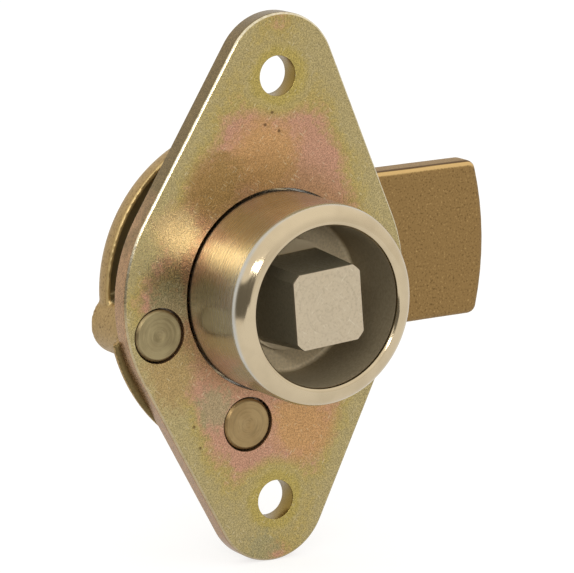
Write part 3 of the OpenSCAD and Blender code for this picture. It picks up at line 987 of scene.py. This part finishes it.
# %% [markdown]
# ## Bright turned metal
# The nozzle is plated bright. Its rim is polished, its outside still shows the lathe, and the
# bore is dull because it was never polished, and painted darker as shade, because little light gets
# in. The end of the spindle is faced bright, and the sides of its square are duller and painted
# darker, partly as shade for the dark inside of the nozzle that they mirror.

# %% Plate the nozzle
nickel = seen(214, 197, 166)
wall_nickel = seen(206, 205, 199)
bore_shade_grey = seen(154, 142, 117)
floor_grey = seen(208, 192, 160)
nickel_stain = seen(150, 134, 104)
WALL_SPAN = (nozzle_r / MM - 0.25, nozzle_r / MM - 0.02)
BORE_SPAN = (bore_r / MM + 0.3, bore_r / MM + 0.05)
DEEP_SPAN = (nozzle_front / MM + 0.4, nozzle_front / MM + 0.8)
FLOOR_SPAN = (bore_floor / MM - 0.6, bore_floor / MM - 0.05)
STAIN_SPREAD = (0.4, 0.7, 0.0, 0.2)
WALL_DULL = 0.14
BORE_DULL = 0.4
BORE_METALLIC = 0.2
RIM_MARKS = 0.25

bright, tree, shader, place = new_finish("bright_nickel", 1.0)
y = along(tree, place, "Y")
marks = use_group(tree, tool_marks, Place=place, Pitch=5.0)
grain = use_group(tree, metal_grain, Place=place, Scale=3.0)
on_wall = rise(tree, marks["Radius"], *WALL_SPAN)
in_bore = times(tree, rise(tree, marks["Radius"], *BORE_SPAN), rise(tree, y, *DEEP_SPAN))
colour = blend(tree, on_wall, nickel, wall_nickel)
colour = blend(tree, rise(tree, grain["Cloud"], *STAIN_SPREAD), colour, nickel_stain)
# The bore walls are painted a darker grey, partly as shade where little light gets in, partly for their
# duller unpolished metal.
bore_colour = blend(tree, rise(tree, y, *FLOOR_SPAN), bore_shade_grey, floor_grey)
bore_colour = blend(tree, 1.0, bore_colour, vary(tree, grain["Grain"], 0.85, 1.1), "MULTIPLY")
colour = blend(tree, in_bore, colour, bore_colour)
rough = sums(tree, "MULTIPLY_ADD", on_wall, WALL_DULL, vary(tree, marks["Mark"], 0.08, 0.15))
rough = sums(tree, "MULTIPLY_ADD", in_bore, BORE_DULL, rough)
tree.links.new(rise(tree, in_bore, 0.0, 1.0, 1.0, BORE_METALLIC), shader.inputs["Metallic"])
lathe = times(tree, marks["Mark"], rise(tree, on_wall, 0.0, 1.0, RIM_MARKS, 1.0))
feed(tree, shader, colour, rough, lathe, bump_mm=0.014, strength=0.4)
wear(turned_nozzle, bright)

# %% Steel of the spindle
steel_face = seen(206, 192, 167)
steel_scratch = seen(226, 216, 194)
worn_dark = seen(128, 118, 98)
side_steel_and_shade = seen(118, 112, 94)
side_dark = seen(84, 78, 62)
END_SPAN = (nozzle_front / MM + 0.3, nozzle_front / MM + 0.05)
COLLAR_SPAN = (flat_end / MM - 0.3, flat_end / MM)
FACE_MARKS = (0.5, 0.7, 0.0, 0.14)
FACE_GRAIN = (0.5, 0.7, 0.0, 0.18)
SIDE_GRAIN = (0.4, 0.7, 0.0, 0.3)
SIDE_METALLIC = 0.35

milled, tree, shader, place = new_finish("milled_steel", 1.0)
y = along(tree, place, "Y")
grain = use_group(tree, metal_grain, Place=place, Scale=3.2)
marks = use_group(tree, tool_marks, Place=place, Pitch=1.6)
on_end = rise(tree, y, *END_SPAN)
face_colour = blend(tree, rise(tree, marks["Mark"], *FACE_MARKS), steel_face, worn_dark)
face_colour = blend(tree, rise(tree, grain["Grain"], *FACE_GRAIN), face_colour, worn_dark)
scratched = times(tree, grain["Scratch"], SCRATCH_SHARE)
face_colour = blend(tree, scratched, face_colour, steel_scratch)
# The sides of the square are painted darker, partly as shade for the dark inside of the nozzle that they
# mirror, partly for duller milled steel.
side_colour = blend(tree, rise(tree, grain["Grain"], *SIDE_GRAIN), side_steel_and_shade, side_dark)
side_colour = blend(tree, rise(tree, y, *COLLAR_SPAN), side_colour, floor_grey)
colour = blend(tree, on_end, side_colour, face_colour)
tree.links.new(rise(tree, on_end, 0.0, 1.0, SIDE_METALLIC, 1.0), shader.inputs["Metallic"])
feed(tree, shader, colour, vary(tree, grain["Grain"], 0.36, 0.5), grain["Grain"], bump_mm=0.03, strength=0.4)
wear(milled_spindle, milled)

# %% Steel of the washer
washer_light = seen(186, 178, 160)
washer_dark = seen(148, 138, 116)
WASHER_CLOUD = (0.35, 0.7)

plain_steel, tree, shader, place = new_finish("plain_steel", 1.0)
grain = use_group(tree, metal_grain, Place=place, Scale=3.0)
marks = use_group(tree, tool_marks, Place=place, Pitch=4.0)
colour = blend(tree, rise(tree, grain["Cloud"], *WASHER_CLOUD), washer_light, washer_dark)
feed(tree, shader, colour, vary(tree, marks["Mark"], 0.25, 0.42), marks["Mark"], bump_mm=0.02, strength=0.3)
wear(turned_washer, plain_steel)

# %% Steel of the rivets
rivet_ring = seen(108, 94, 66)
RIVET_CLOUD = (0.4, 0.65)
RIVET_RINGS = (0.45, 0.7, 0.0, 0.35)


def rivet_finish(name, centre, base, stain):
    """Turned steel whose tool rings run round the rivet's own axis."""
    material, tree, shader, place = new_finish(name, 0.9)
    offset = (-centre[0] / MM, 0, -centre[1] / MM)
    own_place = add_node(tree, "Mapping", {"Vector": place, "Location": offset}).outputs[0]
    marks = use_group(tree, tool_marks, Place=own_place, Pitch=4.0)
    grain = use_group(tree, metal_grain, Place=place, Scale=3.0)
    colour = blend(tree, rise(tree, grain["Cloud"], *RIVET_CLOUD), base, stain)
    colour = blend(tree, rise(tree, marks["Mark"], *RIVET_RINGS), colour, rivet_ring)
    rough = vary(tree, grain["Grain"], 0.32, 0.5)
    feed(tree, shader, colour, rough, marks["Mark"], bump_mm=0.03, strength=0.4)
    return material


wear(upper_rivet, rivet_finish("rivet_olive", rivet_places[0], seen(174, 159, 120), seen(156, 140, 104)))
wear(lower_rivet, rivet_finish("rivet_brown", rivet_places[1], seen(176, 151, 108), seen(160, 134, 92)))

# %% [markdown]
# ## Cast brass
# The case and the tongue have the dull brown skin of barrelled castings, sandy at close range. The
# upper edges of the tongue and the window rim of the case are lightened with a painted highlight.
# A dark line along the top edge of the tongue is painted shade, as of a crease there, and the front
# of the foot of the case is painted dark olive as shade under the plate. Barrelling doesn't reach
# the inside of the case, which keeps a greyer skin.

# %% Skin of the tongue
dark_sand = seen(92, 68, 36)
light_grain_and_highlight_brass = seen(226, 190, 128)
crease_shade_brown = seen(98, 72, 38)
tongue_brass = seen(154, 124, 77)
SAND_DARK = (0.52, 0.72, 0.0, 0.75)
SAND_LIGHT = (0.42, 0.28, 0.0, 0.45)
UPPER_EDGE = (0.15, 0.45)
TONGUE_HIGHLIGHT = 0.85


def brass_skin(name, skin):
    """Cast brass with a fine sandy skin. Returns its parts, so that painted highlights, painted shade and
    other colours can be laid over it.
    """
    material, tree, shader, place = new_finish(name, 0.85)
    grain = use_group(tree, metal_grain, Place=place, Scale=3.4)["Grain"]
    colour = blend(tree, rise(tree, grain, *SAND_DARK), skin, dark_sand)
    colour = blend(tree, rise(tree, grain, *SAND_LIGHT), colour, light_grain_and_highlight_brass)
    return material, tree, shader, place, grain, colour


tongue_skin, tree, shader, _, grain, colour = brass_skin("tongue_skin", tongue_brass)
worn = use_group(tree, edge_finder, Ragged=grain, Flat=1.0, Side=0.5)
# Painted highlight: the upper rounded edges of the tongue are lightened, as where they catch light from
# above.
upper_edge = rise(tree, worn["Up"], *UPPER_EDGE)
rubbed_and_highlit = times(tree, worn["Edge"], upper_edge)
colour = blend(tree, times(tree, rubbed_and_highlit, TONGUE_HIGHLIGHT), colour, light_grain_and_highlight_brass)
# Painted shade: a dark line along the top edge of the tongue, as if from a crease there.
crease_shade = use_group(tree, edge_finder, Ragged=0.0, Flat=0.5, Side=0.05)
colour = blend(tree, times(tree, crease_shade["Edge"], upper_edge), colour, crease_shade_brown)
rough = rise(tree, rubbed_and_highlit, 0.0, 1.0, 0.5, 0.32)
feed(tree, shader, colour, rough, grain, bump_mm=0.05, strength=0.6)
wear(cast_tongue, tongue_skin)

# %% Skin of the case
case_brass = seen(176, 148, 99)
rim_highlight_brass = seen(222, 196, 140)
# Painted shade: dark olive for the front of the foot, which lies in shadow under the plate.
foot_shade_olive = seen(96, 84, 52)
cavity_grey = seen(166, 152, 114)
lip_inner = (case_r - window_lip) / MM
BEHIND_RIM = (window_rim / MM + 0.5, window_rim / MM + 0.25)
BEFORE_RIM = (window_rim / MM - 0.2, window_rim / MM - 0.4)
CAVITY_SPAN = (lip_inner + 0.15, lip_inner - 0.05)
CAVITY_DEPTH = (case_floor / MM + 0.4, case_floor / MM + 0.2)
WINDOW_FOOT = (-3.0, -1.5)
RIM_HIGHLIGHT_SHARE = 0.9
FOOT_SHADE_SHARE = 0.8

case_skin, tree, shader, place, grain, colour = brass_skin("case_skin", case_brass)
y = along(tree, place, "Y")
worn = use_group(tree, edge_finder, Ragged=grain, Flat=1.05, Side=0.3)
from_axis = use_group(tree, tool_marks, Place=place, Pitch=1.0)["Radius"]
frontal = sums(tree, "SUBTRACT", 1.0, worn["Side"])
before_rim = rise(tree, y, *BEFORE_RIM)
at_rim = sums(tree, "SUBTRACT", rise(tree, y, *BEHIND_RIM), before_rim)
# Painted highlight along the window rim, and painted shade on the front of the foot, in front of the rim.
for where, share, metal in ((at_rim, RIM_HIGHLIGHT_SHARE, rim_highlight_brass), (before_rim, FOOT_SHADE_SHARE, foot_shade_olive)):
    shown = times(tree, times(tree, where, frontal), share)
    colour = blend(tree, shown, colour, metal)
above_foot = rise(tree, along(tree, place, "Z"), *WINDOW_FOOT)
in_window = times(tree, rise(tree, y, *CAVITY_DEPTH), above_foot)
inside = times(tree, rise(tree, from_axis, *CAVITY_SPAN), in_window)
colour = blend(tree, inside, colour, cavity_grey)
feed(tree, shader, colour, vary(tree, grain, 0.36, 0.5), grain, bump_mm=0.05, strength=0.5)
wear(cast_case, case_skin)

# %% Steel inside the case
hidden_steels = {"detent_block": seen(150, 146, 136), "detent_spring": seen(92, 92, 98)}
oil_brown = seen(84, 76, 62)
OIL_SPREAD = (0.35, 0.7, 0.0, 0.5)

for node, steel in hidden_steels.items():
    material, tree, shader, place = new_finish(node + "_steel", 1.0)
    grain = use_group(tree, metal_grain, Place=place, Scale=2.5)
    colour = blend(tree, rise(tree, grain["Cloud"], *OIL_SPREAD), steel, oil_brown)
    rough = vary(tree, grain["Grain"], 0.35, 0.5)
    feed(tree, shader, colour, rough, grain["Grain"], bump_mm=0.02, strength=0.3)
    wear(frame["nodes"][node], material)

# %% [markdown]
# ## Studio
# The latch stands in a white light tent that is open to a dark room on the left, where the camera
# is. A strip lamp hangs aslant over the opening. Bright metal is mostly a picture of its room: the
# strip is the hot spot on the rim, and the dark room is the streak under it. The floor is pale card
# that ends a short way to the left and in front, and glows a little so that it looks white.

# %% Light tent
white = (1, 1, 1, 1)
warm_white = (1.0, 0.97, 0.92, 1)
room_dark = (0.2, 0.19, 0.17, 1)
OPENING_AZIMUTH = [math.radians(angle) for angle in (-120, -100, -10, 4)]
OPENING_HEIGHT = [math.sin(math.radians(angle)) for angle in (-17, -11, 15, 20)]
TENT_RISE = (0.0, 0.7)
TENT_SIDE = 0.84
TENT_TOP = 1.0

world = bpy.context.scene.world or bpy.data.worlds.new("light_tent")
bpy.context.scene.world = world
world.use_nodes = True
tree = world.node_tree
tree.nodes.clear()


def between(value, limits):
    """1 between the two middle limits, fading to 0 at the outer ones."""
    rising, full, still_full, gone = limits
    return times(tree, rise(tree, value, rising, full), rise(tree, value, gone, still_full))


looked_at = add_node(tree, "TexCoord").outputs["Generated"]
way = add_node(tree, "VectorMath", {0: looked_at}, operation="NORMALIZE").outputs[0]
way_x, way_y, way_z = add_node(tree, "SeparateXYZ", {0: way}).outputs
azimuth = sums(tree, "ARCTAN2", way_x, times(tree, way_y, -1.0))
opening = times(tree, between(azimuth, OPENING_AZIMUTH), between(way_z, OPENING_HEIGHT))
tent_colour = blend(tree, opening, warm_white, room_dark)
tent_level = rise(tree, way_z, *TENT_RISE, TENT_SIDE, TENT_TOP)
tent = add_node(tree, "Background", {"Color": tent_colour, "Strength": tent_level})
backdrop = add_node(tree, "Background", {"Color": white, "Strength": 1.0})
seen_by_camera = add_node(tree, "LightPath").outputs["Is Camera Ray"]
lit = add_node(tree, "MixShader", {0: seen_by_camera, 1: tent.outputs[0], 2: backdrop.outputs[0]})
tree.links.new(lit.outputs[0], add_node(tree, "OutputWorld").inputs[0])
print("Light tent made of", len(tree.nodes), "nodes")

# %% Strip lamp
LAMP_AZIMUTH = math.radians(-28)
LAMP_ELEVATION = math.radians(21.5)
LAMP_TILT = math.radians(25)
LAMP_DISTANCE = 0.9
LAMP_SIZE = (0.8, 0.07)
LAMP_LEVEL = 15.0

lamp_turn = Matrix.Rotation(LAMP_AZIMUTH, 3, "Z")
lamp_way = lamp_turn @ Vector((0, -math.cos(LAMP_ELEVATION), math.sin(LAMP_ELEVATION)))
clear_selection()
bpy.ops.object.light_add(type="AREA", location=lamp_way * LAMP_DISTANCE)
lamp = bpy.context.object
lamp.name = "strip_lamp"
facing_latch = lamp_way.to_track_quat("Z", "Y").to_matrix()
lamp.rotation_euler = (facing_latch @ Matrix.Rotation(-LAMP_TILT, 3, "Z")).to_euler()
lamp.data.shape = "RECTANGLE"
lamp.data.size, lamp.data.size_y = LAMP_SIZE
lamp.data.energy = LAMP_LEVEL * math.pi * LAMP_SIZE[0] * LAMP_SIZE[1]
lamp.data.color = warm_white[:3]
print("Strip lamp, W:", round(lamp.data.energy, 2))

# %% Floor
FLOOR_SIZE = 6
FLOOR_LEFT = -0.1
FLOOR_FRONT = -0.3
CARD_GREY = (0.36, 0.36, 0.36, 1)
GLOW_IN_METAL = 0.5
GLOW_IN_CAMERA = 0.72

clear_selection()
floor_middle = (FLOOR_LEFT + FLOOR_SIZE / 2, FLOOR_FRONT + FLOOR_SIZE / 2, cad_box[0].z)
bpy.ops.mesh.primitive_plane_add(size=FLOOR_SIZE, location=floor_middle)
floor = named("floor")
pale = bpy.data.materials.new("pale_floor")
pale.use_nodes = True
tree = pale.node_tree
tree.nodes.clear()
paths = add_node(tree, "LightPath").outputs
in_metal = times(tree, paths["Is Glossy Ray"], GLOW_IN_METAL)
shown = sums(tree, "MULTIPLY_ADD", paths["Is Camera Ray"], GLOW_IN_CAMERA, in_metal)
card = add_node(tree, "BsdfDiffuse", {"Color": CARD_GREY})
glow = add_node(tree, "Emission", {"Color": white, "Strength": shown})
both = add_node(tree, "AddShader", {0: card.outputs[0], 1: glow.outputs[0]})
tree.links.new(both.outputs[0], add_node(tree, "OutputMaterial").inputs[0])
wear(floor, pale)
